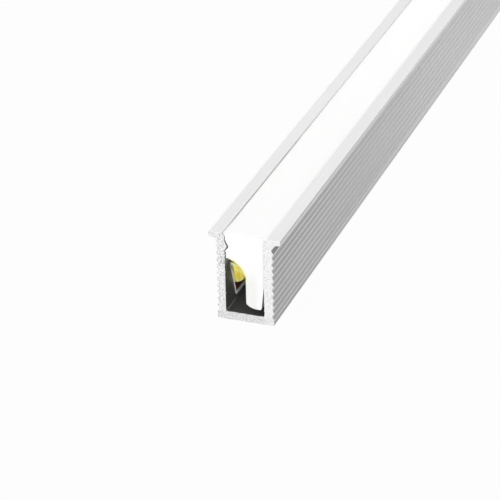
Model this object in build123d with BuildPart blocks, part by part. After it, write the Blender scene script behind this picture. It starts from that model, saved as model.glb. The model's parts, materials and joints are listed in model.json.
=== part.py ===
"""Recessed profile for LED strip: a ribbed aluminium channel, an opal diffuser and a side-lit strip.

Frame: +Y along the profile, +Z up towards the lit face, origin at the centre of the underside.
The near end, at -Y, is the one with the slanted strip end. All sizes are in millimetres.
"""
import os

from build123d import *

# Channel: outside sizes
length = 154.0
body_width = 8.0
flange_overhang = 1.0
flange_thickness = 0.75
flange_edge_radius = 0.15
gusset_width = 0.3
bottom_edge_radius = 0.15

# Channel: walls and mouth
floor_thickness = 1.15
left_wall = 1.2
right_wall = 1.36
floor_corner_radius = 0.2
mouth_chamfer_width = 0.3
mouth_chamfer_depth = 0.4

# Channel: serrations that grip the glue in the groove
rib_pitch = 0.98
rib_depth = 0.28
rib_crest_flat = 0.08
lowest_crest = 0.9

# Channel: snap ridge inside the left wall
ridge_projection = 0.3
ridge_top_depth = 1.15
ridge_upper_slope = 0.7
ridge_crest = 0.2
ridge_lower_slope = 0.45

# Diffuser: snap notch, lip over the strip, arch and leg
joint_gap = 0.08
ridge_clearance = 0.2
lip_clearance = 0.06
lip_thickness = 0.2
pocket_depth = 0.9
arch_radius = 3.4
arch_drop = 2.65
beam_gap = 1.04
leg_floor_gap = 0.95
leg_toe_width = 0.42
leg_toe_rise = 0.65
leg_toe_flat = 0.6
leg_toe_radius = 0.22
leg_contact_height = 4.6

# Strip: tape, flexible board and the continuous gel over the chips
strip_width = 8.0
strip_floor_gap = 0.65
strip_end_clearance = 1.5
unit_length = 50.0
cut_slant = 2.9
cut_overrun = 0.4
tape_thickness = 0.05
board_thickness = 0.1
pocket_clearance = 0.01
edge_clearance = 0.3
gel_width = 3.5
gel_height = 1.7

# Strip: parts on the board
chips_per_unit = 24
chip_length = 0.4
chip_width = 0.25
chip_height = 0.12
pad_length = 9.0
pad_thickness = 0.04
pad_pocket_gap = 0.05
pad_gel_gap = 0.1
resistor_cut_distance = 12.5
resistor_length = 1.6
resistor_width = 0.8
resistor_height = 0.45
resistor_terminal = 0.3
resistor_skin = 0.03

# Heights of the section, stacked up from the underside
strip_bottom = floor_thickness + strip_floor_gap
strip_centre = strip_bottom + strip_width / 2
strip_top = strip_bottom + strip_width
lip_bottom = strip_top + edge_clearance
ridge_bottom = lip_bottom + lip_thickness
ridge_crest_bottom = ridge_bottom + ridge_lower_slope
ridge_crest_top = ridge_crest_bottom + ridge_crest
ridge_top = ridge_crest_top + ridge_upper_slope
height = ridge_top + ridge_top_depth
flange_underside = height - flange_thickness
mouth_chamfer_foot = height - mouth_chamfer_depth

# Faces across the section, from the left wall to the right
inner_left = left_wall - body_width / 2
tape_face = inner_left + tape_thickness
board_face = tape_face + board_thickness
pocket_face = board_face + pocket_clearance
leg_left = board_face + gel_height + beam_gap
inner_right = body_width / 2 - right_wall

# Stations along the strip
strip_units = int((length - 2 * strip_end_clearance) // unit_length)
strip_length = strip_units * unit_length
strip_start = -strip_length / 2
strip_end = strip_length / 2
cut_lines = [strip_start + unit_length * i for i in range(strip_units + 1)]
near_cut = Plane(
    origin=(0, strip_start + cut_overrun, strip_centre),
    x_dir=(1, 0, 0),
    z_dir=(0, strip_width, cut_slant),
)

os.makedirs("parts", exist_ok=True)


def finish(piece, name):
    """Label a finished piece and write it under its own name."""
    piece.part.label = name
    export_step(piece.part, f"parts/{name}.step")


# Channel: grooves sit midway between crests, and the flange's gusset starts above the top one
groove_count = int((flange_underside - lowest_crest) // rib_pitch)
groove_heights = [lowest_crest + rib_pitch * (i + 0.5) for i in range(groove_count)]
groove_mouth = rib_pitch - rib_crest_flat
gusset_foot = groove_heights[-1] + groove_mouth / 2
side_grooves = [(side * body_width / 2, z) for side in (-1, 1) for z in groove_heights]

with BuildSketch() as cavity:
    with BuildLine():
        Polyline(
            (inner_left, floor_thickness),
            (inner_right, floor_thickness),
            (inner_right, mouth_chamfer_foot),
            (inner_right + mouth_chamfer_width, height),
            (inner_left - mouth_chamfer_width, height),
            (inner_left, mouth_chamfer_foot),
            close=True,
        )
    make_face()
    fillet(cavity.vertices().group_by(Axis.Y)[0], floor_corner_radius)

with BuildPart() as channel:
    with BuildSketch(Plane.XZ) as channel_section:
        with Locations((0, height)):
            Rectangle(body_width, height, align=(Align.CENTER, Align.MAX))
            Rectangle(
                body_width + 2 * flange_overhang,
                flange_thickness,
                align=(Align.CENTER, Align.MAX),
            )
        flange_corners = channel_section.vertices().sort_by(Axis.X)
        fillet(flange_corners[:2] + flange_corners[-2:], flange_edge_radius)
        fillet(channel_section.vertices().group_by(Axis.Y)[0], bottom_edge_radius)
        for side in (-1, 1):
            wall_x = side * body_width / 2
            with BuildLine():
                Polyline(
                    (wall_x, gusset_foot),
                    (wall_x + side * gusset_width, flange_underside),
                    (wall_x, flange_underside),
                    close=True,
                )
            make_face()
        with Locations(*side_grooves):
            Polygon(
                (-rib_depth, 0),
                (0, -groove_mouth / 2),
                (rib_depth, 0),
                (0, groove_mouth / 2),
                mode=Mode.SUBTRACT,
            )
        add(cavity.sketch, mode=Mode.SUBTRACT)
        with BuildLine():
            Polyline(
                (inner_left, ridge_top),
                (inner_left + ridge_projection, ridge_crest_top),
                (inner_left + ridge_projection, ridge_crest_bottom),
                (inner_left, ridge_bottom),
                close=True,
            )
        make_face()
    extrude(amount=length / 2, both=True)
finish(channel, "channel")

# Diffuser: slab, snap notch, pocket over the strip's upper edge, arch over the gel and leg
arch_top = lip_bottom - pocket_depth
arch_foot = arch_top - arch_drop
leg_bottom = floor_thickness + leg_floor_gap
leg_toe_right = inner_right - leg_toe_width
joint_face = inner_left + joint_gap
notch_face = inner_left + ridge_projection + ridge_clearance
lip_face = inner_left + lip_clearance

with BuildPart() as diffuser:
    with BuildSketch(Plane.XZ) as diffuser_section:
        with BuildLine():
            left_flank = Polyline(
                (joint_face - mouth_chamfer_width, height),
                (joint_face, mouth_chamfer_foot),
                (joint_face, ridge_top + ridge_clearance),
                (notch_face, ridge_crest_top),
                (notch_face, ridge_crest_bottom),
                (lip_face, ridge_bottom - lip_clearance),
                (lip_face, lip_bottom),
                (pocket_face, lip_bottom),
                (pocket_face, arch_top),
            )
            arch = RadiusArc(left_flank @ 1, (leg_left, arch_foot), arch_radius)
            inner_face = Line(arch @ 1, (leg_left, leg_bottom + leg_toe_rise))
            toe_flat_end = (leg_toe_right - leg_toe_flat, leg_bottom)
            TangentArc(toe_flat_end, inner_face @ 1, tangent=(-1, 0))
            Polyline(
                toe_flat_end,
                (leg_toe_right, leg_bottom),
                (inner_right, floor_thickness + leg_contact_height),
                (inner_right, mouth_chamfer_foot),
                (inner_right + mouth_chamfer_width, height),
                left_flank @ 0,
            )
        make_face()
        toe_corner = diffuser_section.vertices().group_by(Axis.Y)[0].sort_by(Axis.X)[-1]
        fillet(toe_corner, leg_toe_radius)
    extrude(amount=length / 2, both=True)
finish(diffuser, "diffuser")

# Tape and board: full-width bands, trimmed by the same slanted cut at the near end
for name, back_face, thickness in (
    ("strip_tape", inner_left, tape_thickness),
    ("strip_board", tape_face, board_thickness),
):
    with BuildPart() as band:
        with BuildSketch(Plane.YZ.offset(back_face)):
            with Locations((strip_end, strip_centre)):
                Rectangle(strip_length + cut_slant, strip_width, align=(Align.MAX, Align.CENTER))
        extrude(amount=thickness)
        split(bisect_by=near_cut, keep=Keep.TOP)
    finish(band, name)

# Chips: one row under the gel
chip_pitch = unit_length / chips_per_unit
with BuildPart() as led_chips:
    with BuildSketch(Plane.YZ.offset(board_face)):
        with Locations((0, strip_centre)):
            with GridLocations(chip_pitch, 0, chips_per_unit * strip_units, 1):
                Rectangle(chip_length, chip_width)
    extrude(amount=chip_height)
finish(led_chips, "led_chips")

# Gel: a half-round bead that encloses the chips
with BuildPart() as phosphor_gel:
    with BuildSketch(Plane.XZ.offset(-strip_end)):
        with BuildLine():
            bead = EllipticalCenterArc(
                (board_face, strip_centre), gel_height, gel_width / 2, start_angle=-90, arc_size=180
            )
            Line(bead @ 1, bead @ 0)
        make_face()
    extrude(amount=strip_length + cut_slant)
    split(bisect_by=near_cut, keep=Keep.TOP)
    add(led_chips.part, mode=Mode.SUBTRACT)
finish(phosphor_gel, "phosphor_gel")

# Solder pads: one pair astride each cut line, below the pocket, halved where the strip is cut
pad_edge_margin = pocket_depth - edge_clearance + pad_pocket_gap
pad_width = (strip_width - gel_width) / 2 - pad_edge_margin - pad_gel_gap
pad_offset = strip_width / 2 - pad_edge_margin - pad_width / 2
for pole, pad_centre in (
    ("positive", strip_centre + pad_offset),
    ("negative", strip_centre - pad_offset),
):
    for number, cut_line in enumerate(cut_lines, start=1):
        pad_start = cut_line - pad_length / 2
        pad_end = min(cut_line + pad_length / 2, strip_end)
        with BuildPart() as pad:
            with BuildSketch(Plane.YZ.offset(board_face)):
                with Locations((pad_end, pad_centre)):
                    Rectangle(pad_end - pad_start, pad_width, align=(Align.MAX, Align.CENTER))
            extrude(amount=pad_thickness)
            split(bisect_by=near_cut, keep=Keep.TOP)
        finish(pad, f"pad_{pole}_{number}")

# Resistors: in the margin below the gel, one near either end of each cutting unit
resistor_row = strip_centre - (gel_width + strip_width) / 4
for place, offset_in_unit in (
    ("near", resistor_cut_distance),
    ("far", unit_length - resistor_cut_distance),
):
    for number, cut_line in enumerate(cut_lines[:-1], start=1):
        resistor_y = cut_line + offset_in_unit
        with BuildPart() as resistor:
            with BuildSketch(Plane.YZ.offset(board_face)):
                with Locations((resistor_y, resistor_row)):
                    Rectangle(resistor_length - resistor_terminal, resistor_width - 2 * resistor_skin)
            extrude(amount=resistor_height - resistor_skin)
            with BuildSketch(Plane.YZ.offset(board_face)):
                with Locations((resistor_y, resistor_row)):
                    with GridLocations(resistor_length - resistor_terminal, 0, 2, 1):
                        Rectangle(resistor_terminal, resistor_width)
            extrude(amount=resistor_height)
        finish(resistor, f"resistor_{place}_{number}")
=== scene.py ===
"""Finishes, modelled details, studio and camera for the recessed LED strip profile.

Every place is in the part's own frame: +Y along the profile, +Z up to the lit face, origin at the
centre of the underside. Lengths are written in millimetres and multiplied by MM.
"""
import json
import math
import random

import bpy
from mathutils import Matrix, Vector

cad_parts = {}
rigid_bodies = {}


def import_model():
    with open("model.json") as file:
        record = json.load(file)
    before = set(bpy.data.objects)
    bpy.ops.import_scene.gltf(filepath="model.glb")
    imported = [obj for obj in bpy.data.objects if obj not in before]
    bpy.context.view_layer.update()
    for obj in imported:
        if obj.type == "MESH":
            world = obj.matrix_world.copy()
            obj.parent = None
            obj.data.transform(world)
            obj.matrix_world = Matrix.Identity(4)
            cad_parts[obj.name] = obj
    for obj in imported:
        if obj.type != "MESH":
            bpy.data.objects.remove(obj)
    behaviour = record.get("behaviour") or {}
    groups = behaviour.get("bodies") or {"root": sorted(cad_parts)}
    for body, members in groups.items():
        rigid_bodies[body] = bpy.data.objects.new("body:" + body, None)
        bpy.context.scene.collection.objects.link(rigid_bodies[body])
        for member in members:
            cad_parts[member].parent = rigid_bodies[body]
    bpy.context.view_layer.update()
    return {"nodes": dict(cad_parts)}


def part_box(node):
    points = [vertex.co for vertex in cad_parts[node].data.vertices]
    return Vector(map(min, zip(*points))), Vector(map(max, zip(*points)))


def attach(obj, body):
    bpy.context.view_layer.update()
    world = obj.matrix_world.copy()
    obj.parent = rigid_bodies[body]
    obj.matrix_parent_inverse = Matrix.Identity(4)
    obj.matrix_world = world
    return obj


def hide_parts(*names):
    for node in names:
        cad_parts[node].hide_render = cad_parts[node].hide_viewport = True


for startup_object in list(bpy.data.objects):
    bpy.data.objects.remove(startup_object)

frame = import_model()
nodes = frame["nodes"]

MM = 0.001
TINY = 0.001 * MM

# Driving sizes that the frame's boxes don't give
CUT_SLANT = 2.9 * MM
CUT_OVERRUN = 0.4 * MM
STRIP_WIDTH = 8.0 * MM
UNIT_LENGTH = 50.0 * MM
CHIPS_PER_UNIT = 24
FLANGE_THICKNESS = 0.75 * MM
BODY_WIDTH = 8.0 * MM
RIB_PITCH = 0.98 * MM
LOWEST_CREST = 0.9 * MM
ARCH_CENTRE_X = -3.24 * MM
ARCH_RADIUS = 3.4 * MM
MOUTH_CHAMFER = 0.3 * MM
FLOOR_THICKNESS = 1.15 * MM
RIGHT_WALL = 1.36 * MM
RESISTOR_CUT_DISTANCE = 12.5 * MM
RESISTOR_LENGTH = 1.6 * MM
RESISTOR_TERMINAL = 0.3 * MM
RESISTOR_SKIN = 0.03 * MM

# Sizes read from the frame
channel_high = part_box("channel")[1]
board_low, board_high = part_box("strip_board")
diffuser_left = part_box("diffuser")[0].x
gel_low, gel_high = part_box("phosphor_gel")
PROFILE_END = channel_high.y
TOP = channel_high.z
FLANGE_EDGE = channel_high.x
FLANGE_UNDERSIDE = TOP - FLANGE_THICKNESS
BOARD_FACE = board_high.x
STRIP_CENTRE = (board_low.z + board_high.z) / 2
STRIP_START = board_low.y + CUT_SLANT / 2 - CUT_OVERRUN
STRIP_END = board_high.y
CHIP_PITCH = UNIT_LENGTH / CHIPS_PER_UNIT
INNER_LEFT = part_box("strip_tape")[0].x
INNER_RIGHT = BODY_WIDTH / 2 - RIGHT_WALL
INNER_FLOOR = FLOOR_THICKNESS
MOUTH_RIGHT = INNER_RIGHT + MOUTH_CHAMFER

# What the dressed copies change: broken edges, and the right edge of the mouth moved outwards
EDGE_BREAK = 0.03 * MM
MOUTH_SHIFT = 0.31 * MM
OPENED_MOUTH_RIGHT = MOUTH_RIGHT + MOUTH_SHIFT

# How far a finish reaches from a face or an edge. A hair keeps a limit clear of a face.
HAIR = 0.01 * MM
RIM_DEPTH = 0.03 * MM
SAW_DEPTH = 0.035 * MM
CREST_REACH = 0.06 * MM
SKIRT_TOP = LOWEST_CREST - 0.24 * MM

# The values that a noise mostly stays between
NOISE_RANGE = (0.3, 0.7)

# Light. A softbox has a name, a direction, a level and a spread in degrees.
AMBIENT = 0.15
FLOOR_TONE = 0.30
FLOOR_WHITE = 0.975
SOFTBOXES = (
    ("top_softbox", (-0.15, -0.3, 1.0), 0.53, 60),
    ("front_softbox", (0.2, -0.95, 0.28), 0.71, 40),
    ("left_softbox", (-0.85, 0.35, 0.35), 0.36, 50),
)
FAR_LAMP_PLACE = (140 * MM, 140 * MM, 35 * MM)
FAR_LAMP_SIZE = 120 * MM
FAR_LAMP_POWER = 0.15

# Viewpoint of the photograph, fitted to the section's corners and the long edges
CAMERA_PLACE = Vector((97.26, -331.86, 153.54)) * MM
CAMERA_TARGET = Vector((-2.25, -68.94, 6.40)) * MM
CAMERA_ROLL = math.radians(-1.28)
CAMERA_LENS = 169.16


# Modelling helpers

def activate(piece):
    """Leave only this piece selected and active, in object mode."""
    bpy.ops.object.select_all(action="DESELECT")
    piece.select_set(True)
    bpy.context.view_layer.objects.active = piece


def clear_selection(kind):
    """Leave nothing of the active piece selected, and choose what is selected next."""
    bpy.ops.object.mode_set(mode="EDIT")
    bpy.ops.mesh.select_mode(type=kind)
    bpy.ops.mesh.select_all(action="DESELECT")
    bpy.ops.object.mode_set(mode="OBJECT")


def ends_of(piece, edge):
    """The places of an edge's two ends."""
    return [piece.data.vertices[index].co for index in edge.vertices]


def select_edges(piece, wanted):
    """Select, in edit mode, the edges for which wanted(one end, other end) is true."""
    clear_selection("EDGE")
    for edge in piece.data.edges:
        edge.select = wanted(*ends_of(piece, edge))
    bpy.ops.object.mode_set(mode="EDIT")


def select_vertices(piece, wanted):
    """Select, in edit mode, the vertices for which wanted(their place) is true."""
    clear_selection("VERT")
    for vertex in piece.data.vertices:
        vertex.select = wanted(vertex.co)
    bpy.ops.object.mode_set(mode="EDIT")


def settle(piece):
    """Put the piece's place into its mesh, so that its object sits at the origin."""
    activate(piece)
    bpy.ops.object.transform_apply(location=True, rotation=True, scale=True)


def apply_modifier(piece, kind, **settings):
    """Add one modifier with these settings and apply it."""
    activate(piece)
    modifier = piece.modifiers.new(kind.lower(), kind)
    for name, value in settings.items():
        setattr(modifier, name, value)
    bpy.ops.object.modifier_apply(modifier=modifier.name)


def on_mouth_edge(spot, edge_x):
    """True on the upper edge of the mouth that runs along the profile at this X."""
    return abs(spot.x - edge_x) < EDGE_BREAK and spot.z > TOP - EDGE_BREAK


def open_right_mouth(piece):
    """Move the mouth's right edge outwards, as far as the pressed-in diffuser reaches."""
    activate(piece)
    select_vertices(piece, lambda spot: on_mouth_edge(spot, MOUTH_RIGHT))
    bpy.ops.transform.translate(value=(MOUTH_SHIFT, 0, 0))
    bpy.ops.object.mode_set(mode="OBJECT")


def break_edges(piece):
    """Round the sharp edges a little, except where diffuser and right flange meet too tightly."""
    activate(piece)
    clear_selection("EDGE")
    bpy.ops.object.mode_set(mode="EDIT")
    bpy.ops.mesh.edges_select_sharp(sharpness=math.radians(28))
    bpy.ops.object.mode_set(mode="OBJECT")
    for edge in piece.data.edges:
        first, second = ends_of(piece, edge)
        if edge.select and on_mouth_edge((first + second) / 2, OPENED_MOUTH_RIGHT):
            edge.select = False
    bpy.ops.object.mode_set(mode="EDIT")
    bpy.ops.mesh.bevel(offset=EDGE_BREAK, segments=2, affect="EDGES")
    bpy.ops.object.mode_set(mode="OBJECT")


def smooth(piece, degrees):
    """Shade smooth across edges shallower than this angle."""
    activate(piece)
    bpy.ops.object.shade_smooth_by_angle(angle=math.radians(degrees))


def finish_piece(piece, slot, material, *replaced):
    """Give a finished piece its material and body, and hide the solids it stands for. The slot is
    not used.
    """
    piece.data.materials.clear()
    piece.data.materials.append(material)
    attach(piece, "root")
    if replaced:
        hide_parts(*replaced)


def block(name, low, high):
    """A cube stretched between two corners, as a start for shaping."""
    bpy.ops.object.select_all(action="DESELECT")
    bpy.ops.mesh.primitive_cube_add(size=1, location=(Vector(low) + Vector(high)) / 2)
    piece = bpy.context.active_object
    piece.name = piece.data.name = name
    piece.scale = Vector(high) - Vector(low)
    settle(piece)
    return piece


def merged_copy(node_name, piece_name):
    """A copy of a solid with its loose triangles merged back into whole faces."""
    mesh = nodes[node_name].data.copy()
    mesh.name = piece_name
    piece = bpy.data.objects.new(piece_name, mesh)
    bpy.context.collection.objects.link(piece)
    activate(piece)
    bpy.ops.mesh.customdata_custom_splitnormals_clear()
    bpy.ops.object.mode_set(mode="EDIT")
    bpy.ops.mesh.select_all(action="SELECT")
    bpy.ops.mesh.remove_doubles(threshold=TINY)
    bpy.ops.mesh.dissolve_limited(angle_limit=math.radians(0.5))
    bpy.ops.object.mode_set(mode="OBJECT")
    return piece


# Material helpers

def new_material(name):
    """A node material, its tree and its shader."""
    material = bpy.data.materials.new(name)
    material.use_nodes = True
    tree = material.node_tree
    return material, tree, tree.nodes["Principled BSDF"]


def add_node(tree, kind, inputs=(), **settings):
    """A shader node with its settings, and with its inputs linked or set by name or number."""
    made = tree.nodes.new("ShaderNode" + kind)
    for name, value in settings.items():
        setattr(made, name, value)
    for socket, value in dict(inputs).items():
        if isinstance(value, bpy.types.NodeSocket):
            tree.links.new(value, made.inputs[socket])
        else:
            made.inputs[socket].default_value = value
    return made


def set_inputs(tree, shader, **values):
    """Set or link the shader's sockets, written with underscores for spaces."""
    for name, value in values.items():
        socket = shader.inputs[name.replace("_", " ")]
        if isinstance(value, bpy.types.NodeSocket):
            tree.links.new(value, socket)
        else:
            socket.default_value = value


def compute(tree, operation, first, second=0.0):
    """The result of one sum on one or two values or sockets."""
    return add_node(tree, "Math", {0: first, 1: second}, operation=operation).outputs[0]


def plus(tree, total, *others):
    """All of them added up."""
    for other in others:
        total = compute(tree, "ADD", total, other)
    return total


def minus(tree, first, second):
    """The first less the second."""
    return compute(tree, "SUBTRACT", first, second)


def times(tree, result, *others):
    """All of them multiplied together."""
    for other in others:
        result = compute(tree, "MULTIPLY", result, other)
    return result


def size_of(tree, value):
    """The value without its sign."""
    return compute(tree, "ABSOLUTE", value)


def over(tree, value, limit):
    """1 where the value is over the limit, else 0."""
    return compute(tree, "GREATER_THAN", value, limit)


def under(tree, value, limit):
    """1 where the value is under the limit, else 0."""
    return compute(tree, "LESS_THAN", value, limit)


def between(tree, value, low, high):
    """1 where the value lies between the two limits, else 0."""
    return times(tree, over(tree, value, low), under(tree, value, high))


def place(tree):
    """The Object coordinates, whole and as X, Y and Z."""
    point = add_node(tree, "TexCoord").outputs["Object"]
    return (point, *add_node(tree, "SeparateXYZ", {0: point}).outputs)


def from_cut_line(tree, y):
    """The distance along the strip from the nearest cut line."""
    return compute(tree, "PINGPONG", minus(tree, y, STRIP_START), UNIT_LENGTH / 2)


def stretched_noise(tree, point, grain, detail=2.0, roughness=0.5):
    """Noise whose grains have this size in millimetres along X, Y and Z."""
    scale = [1 / (size * MM) for size in grain]
    mapped = add_node(tree, "Mapping", {"Vector": point, "Scale": scale}).outputs[0]
    sockets = {"Vector": mapped, "Scale": 1.0, "Detail": detail, "Roughness": roughness}
    return add_node(tree, "TexNoise", sockets).outputs["Fac"]


def spread(tree, value, low, high, out_low=0.0, out_high=1.0, smooth_step=False):
    """The value taken from one range to another, and held at its ends."""
    sockets = {"Value": value, 1: low, 2: high, 3: out_low, 4: out_high}
    kind = "SMOOTHSTEP" if smooth_step else "LINEAR"
    return add_node(tree, "MapRange", sockets, interpolation_type=kind).outputs[0]


def vary(tree, noise, low, high):
    """A value that follows the noise between these two."""
    return spread(tree, noise, *NOISE_RANGE, low, high)


def blend_colours(tree, share, first, second):
    """The first colour turned into the second by this share."""
    return add_node(tree, "Mix", {0: share, 6: first, 7: second}, data_type="RGBA").outputs[2]


def blend_values(tree, share, first, second):
    """The first value turned into the second by this share."""
    return add_node(tree, "Mix", {0: share, 2: first, 3: second}, data_type="FLOAT").outputs[0]


def bump(tree, height, distance, below=None):
    """A normal from a height between 0 and 1 that stands for this many millimetres."""
    sockets = {"Height": height, "Distance": distance * MM}
    if below is not None:
        sockets["Normal"] = below
    return add_node(tree, "Bump", sockets).outputs[0]


def grey(level, warmth=0.0):
    """A near-grey colour."""
    return (level + warmth, level, level - warmth, 1.0)


# Colours. A pair is the darker and the lighter one that a noise goes between.

SATIN = (grey(0.752), grey(0.807))
# Painted light level towards the far end: it darkens the flanges and evens out the ribs' lit and
# shaded flanks.
FAR_PAINTED_LIGHT_LEVEL = grey(0.62)
RIM_LIGHT = grey(0.86)
RIM_LINE = grey(0.50)

# The ribbed sides' etched tone, painted darker than the flange tops as shade.
ETCHED_AND_SHADED = (grey(0.373), grey(0.423))
# Painted shade on the ribbed sides, a painted highlight in each groove and painted light on the
# foot.
SIDE_PAINTED_SHADE = grey(0.10)
GROOVE_PAINTED_HIGHLIGHT = grey(0.68)
FOOT_PAINTED_LIGHT = grey(0.75)
FLANGE_SHADE = grey(0.07)

# Painted shade and light inside the cavity, and a painted highlight in its floor corner.
CAVITY_PAINTED_SHADE = ((0.060, 0.061, 0.063, 1.0), (0.074, 0.080, 0.080, 1.0))
LEFT_WALL_PAINTED_SHADE = (0.118, 0.116, 0.120, 1.0)
DEEP_CAVITY_PAINTED_SHADE = (0.112, 0.120, 0.122, 1.0)
UPPER_WALL_PAINTED_LIGHT = (0.36, 0.50, 0.46, 1.0)
BESIDE_GEL_PAINTED_SHADE = (0.036, 0.050, 0.100, 1.0)
CORNER_PAINTED_HIGHLIGHT = grey(0.22)

SAWN_METAL = (grey(0.38), grey(0.93))
SAWN_PIT = grey(0.16)
SAWN_FOOT = grey(0.3)
SAWN_RIGHT_WALL = grey(0.95)

MILK = ((0.98, 0.98, 0.975, 1.0), (0.99, 0.99, 0.985, 1.0))
# Painted shade along the joint, on the snap flank and on the leg's cut face, and a painted glow
# over the arch.
JOINT_PAINTED_SHADE = grey(0.30)
SNAP_SHADE = grey(0.08)
LEG_SHADE = (0.885, 0.895, 0.865, 1.0)
ARCH_GLOW = (0.97, 0.92, 0.42, 1.0)

PHOSPHOR = ((0.93, 0.72, 0.075, 1.0), (0.99, 0.93, 0.26, 1.0))
PHOSPHOR_RIM = (0.95, 0.90, 0.42, 1.0)
# Painted shade in the gel's crease by the board, and painted light on the bead's top.
PHOSPHOR_CREASE_SHADE = (0.30, 0.25, 0.08, 1.0)
PHOSPHOR_TOP_PAINTED_LIGHT = (1.0, 0.97, 0.62, 1.0)
PHOSPHOR_SPECK = (0.72, 0.52, 0.08, 1.0)
PHOSPHOR_ON_CHIP = (0.95, 0.70, 0.12, 1.0)

SOLDER_MASK = (grey(0.92, 0.005), grey(0.96, 0.005))
CUT_MARK = (0.05, 0.05, 0.05, 1.0)
TRACK_EDGE = grey(0.55, 0.01)
LAMINATE = (0.72, 0.70, 0.66, 1.0)
# Painted shade on the upper part of the board's cut edge.
LAMINATE_PAINTED_SHADE = (0.06, 0.05, 0.06, 1.0)

COPPER = ((0.36, 0.13, 0.10, 1.0), (0.55, 0.24, 0.19, 1.0))
TAPE_FILM = ((0.66, 0.655, 0.62, 1.0), (0.80, 0.80, 0.78, 1.0))
# Painted shade on the upper part of the tape.
TAPE_PAINTED_SHADE = (0.07, 0.05, 0.075, 1.0)
CRYSTAL = ((0.50, 0.54, 0.60, 1.0), (0.66, 0.70, 0.76, 1.0))
CERAMIC = grey(0.78)
GLAZE = (0.018, 0.018, 0.020, 1.0)
TIN = (grey(0.50), grey(0.68))


# Materials

def flange_colour(tree, tone, near_end_share, x, y, z):
    """Satin flanges with a pale lower rim, a grey line along it near the sawn end, and painted
    shade towards the far end.
    """
    # Painted shade: the flanges grow darker towards the far end.
    far_away = spread(tree, y, -45 * MM, 10 * MM, 0.0, 0.25)
    satin = blend_colours(tree, tone, *SATIN)
    satin = blend_colours(tree, far_away, satin, FAR_PAINTED_LIGHT_LEVEL)
    on_rim = over(tree, size_of(tree, x), FLANGE_EDGE - RIM_DEPTH)
    low_on_rim = under(tree, z, FLANGE_UNDERSIDE + 0.4 * MM)
    satin = blend_colours(tree, times(tree, on_rim, low_on_rim), satin, RIM_LIGHT)
    on_line = between(tree, z, FLANGE_UNDERSIDE + 0.44 * MM, FLANGE_UNDERSIDE + 0.66 * MM)
    return blend_colours(tree, times(tree, on_rim, on_line, near_end_share), satin, RIM_LINE)


def ribbed_colour(tree, tone, near_end_share, y, z, along):
    """Etched ribs: painted shade on the flank above each crest and towards the near end, a painted
    highlight in each groove, painted light on the foot and painted shade under the flange.
    """
    ribs_risen = compute(tree, "DIVIDE", minus(tree, z, LOWEST_CREST), RIB_PITCH)
    rib_phase = compute(tree, "FRACT", ribs_risen)
    # Painted shade on the flank above each crest, over the near part of the side, at the very near
    # end and high up near the end.
    flank_shade = times(tree, between(tree, rib_phase, 0.04, 0.36), near_end_share, 0.2)
    film_and_shade = spread(tree, y, -12 * MM, -40 * MM, 0.0, 0.10)
    near_end_shade = spread(tree, y, -68 * MM, -77 * MM, 0.0, 0.06)
    high_up = spread(tree, z, 5 * MM, 8 * MM, 0.0, 0.08)
    upper_side_shade = times(tree, high_up, spread(tree, y, -45 * MM, -62 * MM))
    painted_side_shade = plus(tree, flank_shade, film_and_shade, near_end_shade, upper_side_shade)
    # The sides' etched tone, painted darker than the flange tops as shade.
    ribs = blend_colours(tree, tone, *ETCHED_AND_SHADED)
    ribs = blend_colours(tree, painted_side_shade, ribs, SIDE_PAINTED_SHADE)
    # Painted highlight: a bright line in each groove, strongest near the near end.
    groove_highlight = times(tree, between(tree, rib_phase, 0.39, 0.50), near_end_share)
    ribs = blend_colours(tree, groove_highlight, ribs, GROOVE_PAINTED_HIGHLIGHT)
    # Painted light: the ribs' lit and shaded flanks even out towards the far end.
    far_away = spread(tree, y, -22 * MM, 12 * MM, 0.0, 0.2)
    ribs = blend_colours(tree, far_away, ribs, FAR_PAINTED_LIGHT_LEVEL)

    # Painted light over the lowest crest, and over the skirt below it, more so farther from the
    # near end.
    foot_crest = between(tree, z, SKIRT_TOP, LOWEST_CREST + CREST_REACH)
    skirt_share = spread(tree, y, -66 * MM, -44 * MM, 0.21, 0.60)
    skirt = times(tree, under(tree, z, SKIRT_TOP), skirt_share)
    ribs = blend_colours(tree, plus(tree, foot_crest, skirt), ribs, FOOT_PAINTED_LIGHT)

    shade_start = FLANGE_UNDERSIDE - 1.6 * RIB_PITCH
    shade_full = FLANGE_UNDERSIDE - 1.1 * RIB_PITCH
    under_flange = spread(tree, z, shade_start, shade_full)
    near_end = spread(tree, along, PROFILE_END - 10 * MM, PROFILE_END - 2 * MM, 0.4, 0.9)
    return blend_colours(tree, times(tree, under_flange, near_end), ribs, FLANGE_SHADE)


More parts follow.
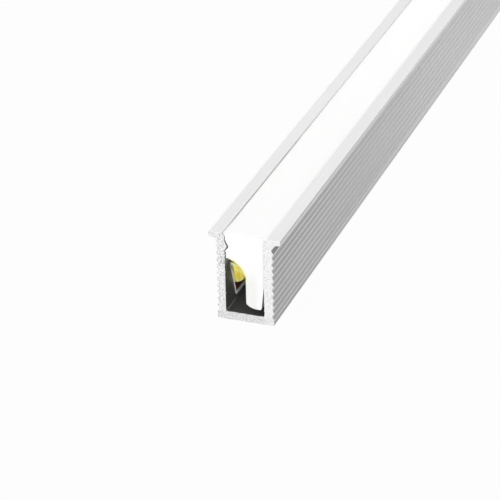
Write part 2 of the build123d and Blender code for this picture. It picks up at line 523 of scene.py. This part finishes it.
def cavity_painted_shade(tree, etch_grain, x, z, along):
    """Painted shade over the cavity: darkest beside the gel, lighter up its left wall, deeper in,
    and lighter and greener high on the walls, with a painted highlight in the floor corner near
    the ends.
    """
    # The whole cavity colour is painted shade, made lighter where more light would reach.
    cavity_shade = blend_colours(tree, etch_grain, *CAVITY_PAINTED_SHADE)
    left_wall = times(tree, under(tree, x, INNER_LEFT + 2 * HAIR), 0.85)
    cavity_shade = blend_colours(tree, left_wall, cavity_shade, LEFT_WALL_PAINTED_SHADE)
    away_from_saw = spread(tree, along, PROFILE_END - 1 * MM, PROFILE_END - 8 * MM, 0.0, 0.5)
    cavity_shade = blend_colours(tree, away_from_saw, cavity_shade, DEEP_CAVITY_PAINTED_SHADE)
    above_strip_middle = spread(tree, z, 6.5 * MM, 9.0 * MM, smooth_step=True)
    below_ridge = spread(tree, z, 9.3 * MM, 9.1 * MM)
    upper_wall = times(tree, above_strip_middle, below_ridge)
    cavity_shade = blend_colours(tree, upper_wall, cavity_shade, UPPER_WALL_PAINTED_LIGHT)
    above_bead_foot = spread(tree, z, 4.8 * MM, 6.2 * MM, smooth_step=True)
    below_bead_top = spread(tree, z, 8.5 * MM, 7.6 * MM, smooth_step=True)
    beside_gel = times(tree, above_bead_foot, below_bead_top)
    cavity_shade = blend_colours(tree, beside_gel, cavity_shade, BESIDE_GEL_PAINTED_SHADE)
    # Painted highlight along the corner of floor and left wall, near the sawn ends only.
    from_corner = plus(tree, minus(tree, x, INNER_LEFT), minus(tree, z, INNER_FLOOR))
    in_corner = under(tree, from_corner, 0.16 * MM)
    near_end = spread(tree, along, PROFILE_END - 4.5 * MM, PROFILE_END - 3.0 * MM)
    return blend_colours(tree, times(tree, in_corner, near_end), cavity_shade, CORNER_PAINTED_HIGHLIGHT)


def sawn_colour(tree, point, cut_tone, x, z):
    """Bright sawn metal: pitted, most of all beside the snap ridge, and dimmer at the foot."""
    bright = spread(tree, cut_tone, 0.36, 0.56, smooth_step=True)
    cut = blend_colours(tree, bright, *SAWN_METAL)
    beside_ridge = between(tree, z, 7.9 * MM, 9.3 * MM)
    torn = times(tree, beside_ridge, under(tree, x, INNER_LEFT), 0.09)
    pits = plus(tree, stretched_noise(tree, point, (0.2, 0.2, 0.2), detail=1.0), torn)
    cut = blend_colours(tree, spread(tree, pits, 0.64, 0.69, 0.0, 0.75), cut, SAWN_PIT)
    foot = spread(tree, z, INNER_FLOOR + 0.2 * MM, INNER_FLOOR - 0.2 * MM, 0.0, 0.18)
    cut = blend_colours(tree, foot, cut, SAWN_FOOT)
    right_wall = times(tree, over(tree, x, INNER_RIGHT), 0.35)
    return blend_colours(tree, right_wall, cut, SAWN_RIGHT_WALL)


def satin_aluminium():
    """Satin anodised extrusion: die lines along Y, etched ribs painted darker as shade, painted
    shade in the cavity, bright sawn ends.
    """
    material, tree, shader = new_material("satin_anodised_aluminium")
    point, x, y, z = place(tree)
    along = size_of(tree, y)
    die_lines = stretched_noise(tree, point, (0.09, 60, 0.09), detail=3.0)
    etch_grain = stretched_noise(tree, point, (0.07, 0.07, 0.07), detail=3.0, roughness=0.6)
    batch_tone = stretched_noise(tree, point, (6, 25, 6), detail=1.0)
    tone = plus(tree, vary(tree, die_lines, -0.5, 0.5), batch_tone)
    tone = spread(tree, tone, 0.0, 1.0)
    crumbs = stretched_noise(tree, point, (0.22, 0.22, 0.16), detail=4.0, roughness=0.65)
    saw_lines = stretched_noise(tree, point, (1.6, 1, 0.06), detail=2.0)
    cut_tone = plus(tree, times(tree, crumbs, 0.75), times(tree, saw_lines, 0.25))

    above_foot = over(tree, z, LOWEST_CREST - CREST_REACH)
    # How strongly the painted shade and highlight of the ribs, and the grey line on the rim, show:
    # full near the near end, faint from the middle on.
    near_end_share = times(tree, above_foot, spread(tree, y, -16 * MM, -60 * MM, 0.05, 1.0))
    mouth_left = INNER_LEFT - MOUTH_CHAMFER
    inside_across = between(tree, x, mouth_left - TINY, OPENED_MOUTH_RIGHT + TINY)
    inside_up = between(tree, z, INNER_FLOOR - 5 * HAIR, TOP - EDGE_BREAK)
    inside = times(tree, inside_across, inside_up)
    side = under(tree, z, FLANGE_UNDERSIDE - 2 * HAIR)
    sawn = over(tree, along, PROFILE_END - SAW_DEPTH)

    flanges = flange_colour(tree, tone, near_end_share, x, y, z)
    ribs = ribbed_colour(tree, tone, near_end_share, y, z, along)
    skin = blend_colours(tree, side, flanges, ribs)
    surface = blend_colours(tree, inside, skin, cavity_painted_shade(tree, etch_grain, x, z, along))
    shown = blend_colours(tree, sawn, surface, sawn_colour(tree, point, cut_tone, x, z))

    dull_rough = vary(tree, etch_grain, 0.40, 0.52)
    cut_rough = spread(tree, crumbs, 0.35, 0.65, 0.55, 0.30)
    relief = plus(tree, times(tree, die_lines, 0.6), times(tree, etch_grain, 0.4))
    not_sawn = minus(tree, 1.0, sawn)
    skin_normal = bump(tree, times(tree, relief, not_sawn), 0.006)
    set_inputs(
        tree,
        shader,
        Base_Color=shown,
        Metallic=0.2,
        Roughness=blend_values(tree, sawn, dull_rough, cut_rough),
        Normal=bump(tree, times(tree, cut_tone, sawn), 0.05, below=skin_normal),
    )
    return material


def arch_glow_share(tree, x, z):
    """How strongly the gel's light tints the diffuser: most at the arch, over the bead."""
    from_centre_x = minus(tree, x, ARCH_CENTRE_X)
    from_centre_z = minus(tree, z, STRIP_CENTRE)
    squares = plus(
        tree,
        times(tree, from_centre_x, from_centre_x),
        times(tree, from_centre_z, from_centre_z),
    )
    into_plastic = minus(tree, compute(tree, "SQRT", squares), ARCH_RADIUS)
    glow_width = spread(
        tree, z, STRIP_CENTRE + 0.5 * MM, STRIP_CENTRE + 2.0 * MM, 0.45 * MM, 0.57 * MM
    )
    from_arch = compute(tree, "DIVIDE", into_plastic, glow_width)
    near_arch = spread(tree, from_arch, 1.0, 0.0, 0.0, 0.9, smooth_step=True)
    over_gel = spread(tree, x, BOARD_FACE, BOARD_FACE + 1.0 * MM)
    above_leg = spread(tree, z, 5.6 * MM, 6.4 * MM)
    return times(tree, near_arch, over_gel, above_leg)


def opal_plastic():
    """Milky diffuser: scatters light inside, satin outside, with draw lines and a matt cut end."""
    material, tree, shader = new_material("opal_diffuser_plastic")
    point, x, y, z = place(tree)
    along = size_of(tree, y)
    draw_lines = stretched_noise(tree, point, (0.5, 90, 0.5), detail=2.0)
    haze = stretched_noise(tree, point, (3, 12, 3), detail=2.0)
    chatter = stretched_noise(tree, point, (0.15, 0.15, 0.12), detail=3.0)
    sawn = over(tree, along, PROFILE_END - HAIR)
    milk = blend_colours(tree, haze, *MILK)

    # Painted shade along the joint with the left flange, on the diffuser's top, fading out away
    # from the near end.
    left_edge = spread(tree, x, diffuser_left + 0.2 * MM, diffuser_left + 0.1 * MM)
    at_top = over(tree, z, TOP - 0.1 * MM)
    joint_shade_start = spread(tree, y, -76.5 * MM, -73 * MM)
    joint_shade_fades = spread(tree, y, -36 * MM, -52 * MM)
    joint_shade = times(tree, left_edge, at_top, joint_shade_start, joint_shade_fades, 0.8)
    milk = blend_colours(tree, joint_shade, milk, JOINT_PAINTED_SHADE)

    by_snap = under(tree, x, BOARD_FACE + 0.4 * MM)
    snap_heights = between(tree, z, board_high.z + 0.3 * MM, TOP - 0.6 * MM)
    behind_cut = under(tree, along, PROFILE_END - 2 * HAIR)
    milk = blend_colours(tree, times(tree, by_snap, snap_heights, behind_cut), milk, SNAP_SHADE)

    leg_across = spread(tree, x, 2.1 * MM, 1.3 * MM)
    leg_heights = spread(tree, z, 8.0 * MM, 5.8 * MM, smooth_step=True)
    milk = blend_colours(tree, times(tree, leg_across, leg_heights, sawn), milk, LEG_SHADE)
    shown = blend_colours(tree, arch_glow_share(tree, x, z), milk, ARCH_GLOW)

    matt = plus(tree, sawn, times(tree, draw_lines, 0.3))
    face_normal = bump(tree, draw_lines, 0.004)
    set_inputs(
        tree,
        shader,
        Base_Color=shown,
        Roughness=spread(tree, matt, 0.0, 1.3, 0.28, 0.65),
        IOR=1.49,
        Subsurface_Weight=0.3,
        Subsurface_Radius=(1.0, 0.98, 0.9),
        Subsurface_Scale=0.4 * MM,
        Normal=bump(tree, times(tree, chatter, sawn), 0.012, below=face_normal),
    )
    return material


def phosphor_silicone():
    """Yellow phosphor in soft silicone: cloudy, speckled, and deeper in colour over each chip."""
    material, tree, shader = new_material("phosphor_silicone")
    point, x, y, z = place(tree)
    grains = stretched_noise(tree, point, (0.12, 0.12, 0.12), detail=3.0, roughness=0.6)
    clouds = stretched_noise(tree, point, (0.55, 1.4, 0.8), detail=2.0)
    body = blend_colours(tree, spread(tree, clouds, 0.38, 0.62), *PHOSPHOR)

    by_board = spread(tree, x, BOARD_FACE + 0.6 * MM, BOARD_FACE + 0.1 * MM, 0.0, 0.6)
    by_edge = spread(tree, z, STRIP_CENTRE - 1.3 * MM, STRIP_CENTRE - 1.65 * MM, 0.0, 0.5)
    thin = compute(tree, "MAXIMUM", by_board, by_edge)
    body = blend_colours(tree, thin, body, PHOSPHOR_RIM)
    # Painted shade in the crease where the gel meets the board, most in its upper half.
    at_board = spread(tree, x, BOARD_FACE + 0.32 * MM, BOARD_FACE + 0.22 * MM)
    upper_half = spread(tree, z, STRIP_CENTRE - 0.4 * MM, STRIP_CENTRE + 0.5 * MM, 0.25, 0.85)
    body = blend_colours(tree, times(tree, at_board, upper_half), body, PHOSPHOR_CREASE_SHADE)
    # Painted light over the top of the bead.
    bead_top = spread(tree, z, STRIP_CENTRE + 1.1 * MM, STRIP_CENTRE + 1.6 * MM, 0.0, 0.8)
    body = blend_colours(tree, bead_top, body, PHOSPHOR_TOP_PAINTED_LIGHT)
    body = blend_colours(tree, spread(tree, grains, 0.58, 0.72), body, PHOSPHOR_SPECK)

    from_first_chip = minus(tree, y, STRIP_START + CHIP_PITCH / 2)
    chip_turn = times(tree, from_first_chip, math.tau / CHIP_PITCH)
    along_chip = spread(tree, compute(tree, "COSINE", chip_turn), 0.2, 1.0)
    off_centre = size_of(tree, minus(tree, z, STRIP_CENTRE))
    across_chip = spread(tree, off_centre, 0.8 * MM, 0.2 * MM)
    over_chip = times(tree, along_chip, across_chip, 0.35)
    set_inputs(
        tree,
        shader,
        Base_Color=blend_colours(tree, over_chip, body, PHOSPHOR_ON_CHIP),
        Roughness=vary(tree, grains, 0.30, 0.45),
        IOR=1.43,
        Subsurface_Weight=0.4,
        Subsurface_Radius=(1.0, 0.8, 0.3),
        Subsurface_Scale=0.4 * MM,
        Normal=bump(tree, clouds, 0.02, below=bump(tree, grains, 0.01)),
    )
    return material


def white_board():
    """White solder mask over copper tracks, with a thin mark across the strip at each cut line."""
    material, tree, shader = new_material("white_solder_mask")
    point, x, y, z = place(tree)
    mottle = stretched_noise(tree, point, (0.4, 0.6, 0.4), detail=3.0)
    off_centre = size_of(tree, minus(tree, z, STRIP_CENTRE))
    track = spread(tree, off_centre, 3.75 * MM, 3.65 * MM)
    on_cut = under(tree, from_cut_line(tree, y), 0.09 * MM)
    track_edge = times(tree, between(tree, off_centre, 2.35 * MM, 2.45 * MM), 0.3)
    face = blend_colours(tree, mottle, *SOLDER_MASK)
    face = blend_colours(tree, on_cut, face, CUT_MARK)
    face = blend_colours(tree, track_edge, face, TRACK_EDGE)
    core = under(tree, x, BOARD_FACE - HAIR)
    # Painted shade over the upper part of the board's cut edge.
    upper_shade = spread(tree, z, 5.8 * MM, 6.8 * MM, smooth_step=True)
    laminate = blend_colours(tree, upper_shade, LAMINATE, LAMINATE_PAINTED_SHADE)
    set_inputs(
        tree,
        shader,
        Base_Color=blend_colours(tree, core, face, laminate),
        Roughness=vary(tree, mottle, 0.38, 0.5),
        Normal=bump(tree, track, 0.03, below=bump(tree, mottle, 0.004)),
    )
    return material


def bare_copper():
    """Bare copper pad, slightly tarnished and scratched along the strip."""
    material, tree, shader = new_material("bare_copper")
    point = place(tree)[0]
    tarnish = stretched_noise(tree, point, (0.5, 0.8, 0.5), detail=4.0, roughness=0.6)
    scratches = stretched_noise(tree, point, (0.3, 2.5, 0.04), detail=2.0)
    set_inputs(
        tree,
        shader,
        Base_Color=blend_colours(tree, vary(tree, tarnish, 0.0, 1.0), *COPPER),
        Metallic=0.9,
        Roughness=vary(tree, scratches, 0.30, 0.48),
        Normal=bump(tree, scratches, 0.004),
    )
    return material


def clear_tape():
    """Pale adhesive film, cloudy, with painted shade towards the strip's upper edge."""
    material, tree, shader = new_material("pale_adhesive_film")
    point, _, _, z = place(tree)
    cloud = stretched_noise(tree, point, (0.3, 1.2, 0.3), detail=3.0)
    film_and_shade = blend_colours(tree, cloud, *TAPE_FILM)
    # Painted shade towards the strip's upper edge.
    upper_shade = spread(tree, z, 6.9 * MM, 7.8 * MM, 0.0, 0.9, smooth_step=True)
    set_inputs(
        tree,
        shader,
        Base_Color=blend_colours(tree, upper_shade, film_and_shade, TAPE_PAINTED_SHADE),
        Roughness=vary(tree, cloud, 0.42, 0.6),
        Normal=bump(tree, cloud, 0.01),
    )
    return material


def chip_crystal():
    """Bluish flip-chip crystal, nearly a mirror, with a fine diced grain."""
    material, tree, shader = new_material("chip_crystal")
    point = place(tree)[0]
    dicing = stretched_noise(tree, point, (0.02, 0.05, 0.05), detail=2.0)
    set_inputs(
        tree,
        shader,
        Base_Color=blend_colours(tree, dicing, *CRYSTAL),
        Metallic=0.4,
        Roughness=vary(tree, dicing, 0.12, 0.25),
        Normal=bump(tree, dicing, 0.002),
    )
    return material


def resistor_finish():
    """Chip resistor: black glaze on top, white ceramic below it, and dull tinned ends."""
    material, tree, shader = new_material("chip_resistor")
    point, x, y, _ = place(tree)
    pits = stretched_noise(tree, point, (0.06, 0.06, 0.06), detail=2.0)
    from_middle = size_of(tree, minus(tree, from_cut_line(tree, y), RESISTOR_CUT_DISTANCE))
    end = over(tree, from_middle, RESISTOR_LENGTH / 2 - RESISTOR_TERMINAL - HAIR)
    glaze = over(tree, x, BOARD_FACE + 0.36 * MM)
    body = blend_colours(tree, glaze, CERAMIC, GLAZE)
    tin = blend_colours(tree, pits, *TIN)
    set_inputs(
        tree,
        shader,
        Base_Color=blend_colours(tree, end, body, tin),
        Metallic=times(tree, end, 0.9),
        Roughness=vary(tree, pits, 0.25, 0.42),
        Normal=bump(tree, pits, 0.004),
    )
    return material


# Pieces

def dress_extrusion(node_name, piece_name, slot, material):
    """An extrusion with its sharp edges softly broken, as the die and handling leave them."""
    piece = merged_copy(node_name, piece_name)
    open_right_mouth(piece)
    break_edges(piece)
    smooth(piece, 35)
    apply_modifier(piece, "WEIGHTED_NORMAL", keep_sharp=True)
    finish_piece(piece, slot, material, node_name)


def slice_piece(spot, direction):
    """Cut away what lies behind a plane, close the cut, and leave all selected in edit mode."""
    bpy.ops.mesh.select_all(action="SELECT")
    bpy.ops.mesh.bisect(plane_co=spot, plane_no=direction, use_fill=True, clear_inner=True)
    bpy.ops.mesh.select_all(action="SELECT")


def model_gel(material):
    """The phosphor bead: a half-round along the strip, laid unevenly, sliced at its near end."""
    height = gel_high.x - gel_low.x
    half_width = (gel_high.z - gel_low.z) / 2
    ring_pitch = 0.8 * MM
    length = STRIP_END - board_low.y
    bpy.ops.object.select_all(action="DESELECT")
    bpy.ops.mesh.primitive_cylinder_add(
        vertices=48,
        radius=1,
        depth=length,
        end_fill_type="NGON",
        location=(BOARD_FACE, (board_low.y + STRIP_END) / 2, STRIP_CENTRE),
        rotation=(math.pi / 2, 0, 0),
    )
    piece = bpy.context.active_object
    piece.name = piece.data.name = "phosphor_bead"
    settle(piece)
    piece.scale = (height, 1, half_width)
    piece.location = (BOARD_FACE * (1 - height), 0, STRIP_CENTRE * (1 - half_width))
    settle(piece)

    select_edges(piece, lambda first, second: abs(first.y - second.y) > length / 2)
    bpy.ops.mesh.subdivide(number_cuts=round(length / ring_pitch))
    select_vertices(piece, lambda spot: spot.x > BOARD_FACE + height / 3)
    bpy.ops.transform.vertex_random(offset=0.06 * MM, uniform=0.0, normal=1.0, seed=5)
    bpy.ops.mesh.vertices_smooth(factor=0.5, repeat=3)

    slice_piece((BOARD_FACE, 0, STRIP_CENTRE), (1, 0, 0))
    near_cut = Vector((0, STRIP_WIDTH, CUT_SLANT)).normalized()
    slice_piece((0, STRIP_START + CUT_OVERRUN, STRIP_CENTRE), near_cut)
    bpy.ops.mesh.normals_make_consistent(inside=False)
    bpy.ops.object.mode_set(mode="OBJECT")
    apply_modifier(
        piece,
        "BEVEL",
        width=0.05 * MM,
        segments=2,
        limit_method="ANGLE",
        angle_limit=math.radians(50),
    )
    smooth(piece, 40)
    finish_piece(piece, "phosphor_gel", material, "phosphor_gel")


def model_resistor(node_name, material):
    """A chip resistor: one block with softened edges, drawn in between its two end caps."""
    low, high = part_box(node_name)
    size = high - low
    shoulder = 0.02 * MM
    cap_low = low.y + RESISTOR_TERMINAL
    cap_high = high.y - RESISTOR_TERMINAL
    body = block(node_name + "_body", low, high)
    apply_modifier(body, "BEVEL", width=0.04 * MM, segments=3, limit_method="NONE")
    bpy.ops.object.mode_set(mode="EDIT")
    for station in (cap_low, cap_low + shoulder, cap_high - shoulder, cap_high):
        bpy.ops.mesh.select_all(action="SELECT")
        bpy.ops.mesh.bisect(plane_co=(0, station, 0), plane_no=(0, 1, 0))
    waist_low = cap_low + shoulder / 2
    waist_high = cap_high - shoulder / 2
    select_vertices(body, lambda spot: waist_low < spot.y < waist_high)
    bpy.ops.transform.resize(
        value=(1 - RESISTOR_SKIN / size.x, 1, 1 - 2 * RESISTOR_SKIN / size.z),
        center_override=(low.x, 0, (low.z + high.z) / 2),
    )
    bpy.ops.object.mode_set(mode="OBJECT")
    smooth(body, 40)
    finish_piece(body, "resistor", material, node_name)


def model_burrs(material):
    """Slivers of metal that the saw leaves standing round the cavity at both ends."""
    draw = random.Random(11)
    sunk_share = 0.6
    floor_left = Vector((INNER_LEFT, INNER_FLOOR))
    floor_right = Vector((INNER_RIGHT, INNER_FLOOR))
    edge_runs = (
        (floor_left, floor_right, 22),
        (floor_left, Vector((INNER_LEFT, 9.6 * MM)), 12),
        (floor_right, Vector((INNER_RIGHT, 5.5 * MM)), 6),
    )
    runs_at_ends = [(end, *run) for end in (-1, 1) for run in edge_runs]
    slivers = []
    for end, first, second, count in runs_at_ends:
        for _ in range(count):
            spot_x, spot_z = first.lerp(second, draw.random())
            reach = draw.uniform(0.05, 0.16) * MM
            bpy.ops.object.select_all(action="DESELECT")
            bpy.ops.mesh.primitive_ico_sphere_add(
                subdivisions=1,
                radius=1,
                location=(spot_x, end * (PROFILE_END - reach * sunk_share), spot_z),
                rotation=(draw.uniform(0, math.tau), draw.uniform(0, math.tau), 0),
                scale=(reach, reach * draw.uniform(0.4, 0.9), reach * draw.uniform(0.3, 0.6)),
            )
            slivers.append(bpy.context.active_object)
    bpy.ops.object.select_all(action="DESELECT")
    for sliver in slivers:
        sliver.select_set(True)
    bpy.context.view_layer.objects.active = slivers[0]
    bpy.ops.object.join()
    piece = bpy.context.active_object
    piece.name = piece.data.name = "saw_burrs"
    settle(piece)
    bpy.ops.object.mode_set(mode="EDIT")
    bpy.ops.mesh.select_all(action="SELECT")
    bpy.ops.transform.vertex_random(offset=0.02 * MM, uniform=1.0, normal=0.0, seed=3)
    bpy.ops.object.mode_set(mode="OBJECT")
    smooth(piece, 20)
    finish_piece(piece, "anodised_aluminium", material)


def model_tape_tag(material):
    """The corner of the tape's liner that the scissors left standing at the near end."""
    overlap, reach, breadth, thickness = 0.1 * MM, 0.4 * MM, 0.35 * MM, 0.04 * MM
    curl, sag = 0.12 * MM, 0.08 * MM
    foot_height = board_low.z + 0.55 * MM
    cut = STRIP_START + CUT_OVERRUN + (STRIP_CENTRE - foot_height) * CUT_SLANT / STRIP_WIDTH
    tag = block(
        "tape_tag",
        (INNER_LEFT + TINY, cut - reach, foot_height),
        (INNER_LEFT + thickness, cut + overlap, foot_height + breadth),
    )
    bpy.ops.object.mode_set(mode="EDIT")
    bpy.ops.mesh.select_all(action="SELECT")
    bpy.ops.mesh.subdivide(number_cuts=3)
    bpy.ops.object.mode_set(mode="OBJECT")
    for vertex in tag.data.vertices:
        lift = max(0.0, (cut - vertex.co.y) / reach)
        vertex.co.x += curl * lift * lift
        vertex.co.z -= sag * lift
    smooth(tag, 30)
    finish_piece(tag, "adhesive_tape", material)


def dress_nodes(material, *names):
    """Give the solids that stay as they are their finish."""
    for name in names:
        nodes[name].data.materials.clear()
        nodes[name].data.materials.append(material)


# Studio

def seen_as_white(tree, camera_share):
    """1 for reflected and refracted rays, and this share for the camera's own."""
    paths = add_node(tree, "LightPath").outputs
    bounced = compute(tree, "MAXIMUM", paths["Is Glossy Ray"], paths["Is Transmission Ray"])
    return compute(tree, "MAXIMUM", bounced, times(tree, paths["Is Camera Ray"], camera_share))


def lay_floor():
    """A pale floor that looks white, and keeps the soft shadow."""
    bpy.ops.object.select_all(action="DESELECT")
    bpy.ops.mesh.primitive_plane_add(size=4, location=(0, 0, -TINY))
    floor = bpy.context.active_object
    floor.name = "studio_floor"
    material, tree, shader = new_material("pale_floor")
    set_inputs(tree, shader, Base_Color=grey(FLOOR_TONE), Roughness=0.9, Specular_IOR_Level=0.1)
    seen = seen_as_white(tree, FLOOR_WHITE)
    white = add_node(tree, "Emission", {"Color": grey(1.0), "Strength": 1.0}).outputs[0]
    both = add_node(tree, "MixShader", {0: seen, 1: shader.outputs[0], 2: white}).outputs[0]
    tree.links.new(both, tree.nodes["Material Output"].inputs["Surface"])
    floor.data.materials.append(material)


def surround_with_white():
    """Surroundings that look white but light the object only a little."""
    world = bpy.data.worlds.new("white_surroundings")
    bpy.context.scene.world = world
    world.use_nodes = True
    tree = world.node_tree
    strength = spread(tree, seen_as_white(tree, 1.0), 0.0, 1.0, AMBIENT, 1.0)
    set_inputs(tree, tree.nodes["Background"], Color=grey(1.0), Strength=strength)


def hang_lamp(name, kind, direction, **settings):
    """A lamp that shines from this direction towards the origin."""
    lamp = bpy.data.lights.new(name, kind)
    for setting, value in settings.items():
        setattr(lamp, setting, value)
    holder = bpy.data.objects.new(name, lamp)
    holder.rotation_euler = Vector(direction).to_track_quat("Z", "Y").to_euler()
    bpy.context.collection.objects.link(holder)
    return holder


def build_studio():
    """Floor, surroundings, and soft lamps from above, the front, the left and the far right."""
    lay_floor()
    surround_with_white()
    for name, direction, level, degrees in SOFTBOXES:
        hang_lamp(name, "SUN", direction, energy=level * math.pi, angle=math.radians(degrees))
    far_lamp = hang_lamp(
        "far_lamp", "AREA", FAR_LAMP_PLACE, energy=FAR_LAMP_POWER, size=FAR_LAMP_SIZE
    )
    far_lamp.location = FAR_LAMP_PLACE
    far_lamp.visible_camera = False


def place_camera():
    """A long lens at the photograph's viewpoint, turned by its slight roll."""
    camera = bpy.data.cameras.new("viewpoint")
    camera.sensor_width = 36
    camera.lens = CAMERA_LENS
    camera.clip_start = 0.01
    holder = bpy.data.objects.new("viewpoint", camera)
    aim = (CAMERA_TARGET - CAMERA_PLACE).to_track_quat("-Z", "Y").to_matrix()
    turned = (aim @ Matrix.Rotation(CAMERA_ROLL, 3, "Z")).to_4x4()
    holder.matrix_world = Matrix.Translation(CAMERA_PLACE) @ turned
    bpy.context.collection.objects.link(holder)
    bpy.context.scene.camera = holder


aluminium = satin_aluminium()
dress_extrusion("channel", "channel_extrusion", "anodised_aluminium", aluminium)
dress_extrusion("diffuser", "diffuser_opal", "opal_diffuser", opal_plastic())
model_gel(phosphor_silicone())
model_burrs(aluminium)
chip_resistor = resistor_finish()
for resistor_node in sorted(name for name in nodes if name.startswith("resistor_")):
    model_resistor(resistor_node, chip_resistor)

copper = bare_copper()
tape = clear_tape()
model_tape_tag(tape)
dress_nodes(tape, "strip_tape")
dress_nodes(white_board(), "strip_board")
dress_nodes(chip_crystal(), "led_chips")
dress_nodes(copper, *(name for name in nodes if name.startswith("pad_")))

build_studio()
place_camera()
bpy.context.scene.view_settings.view_transform = "Standard"
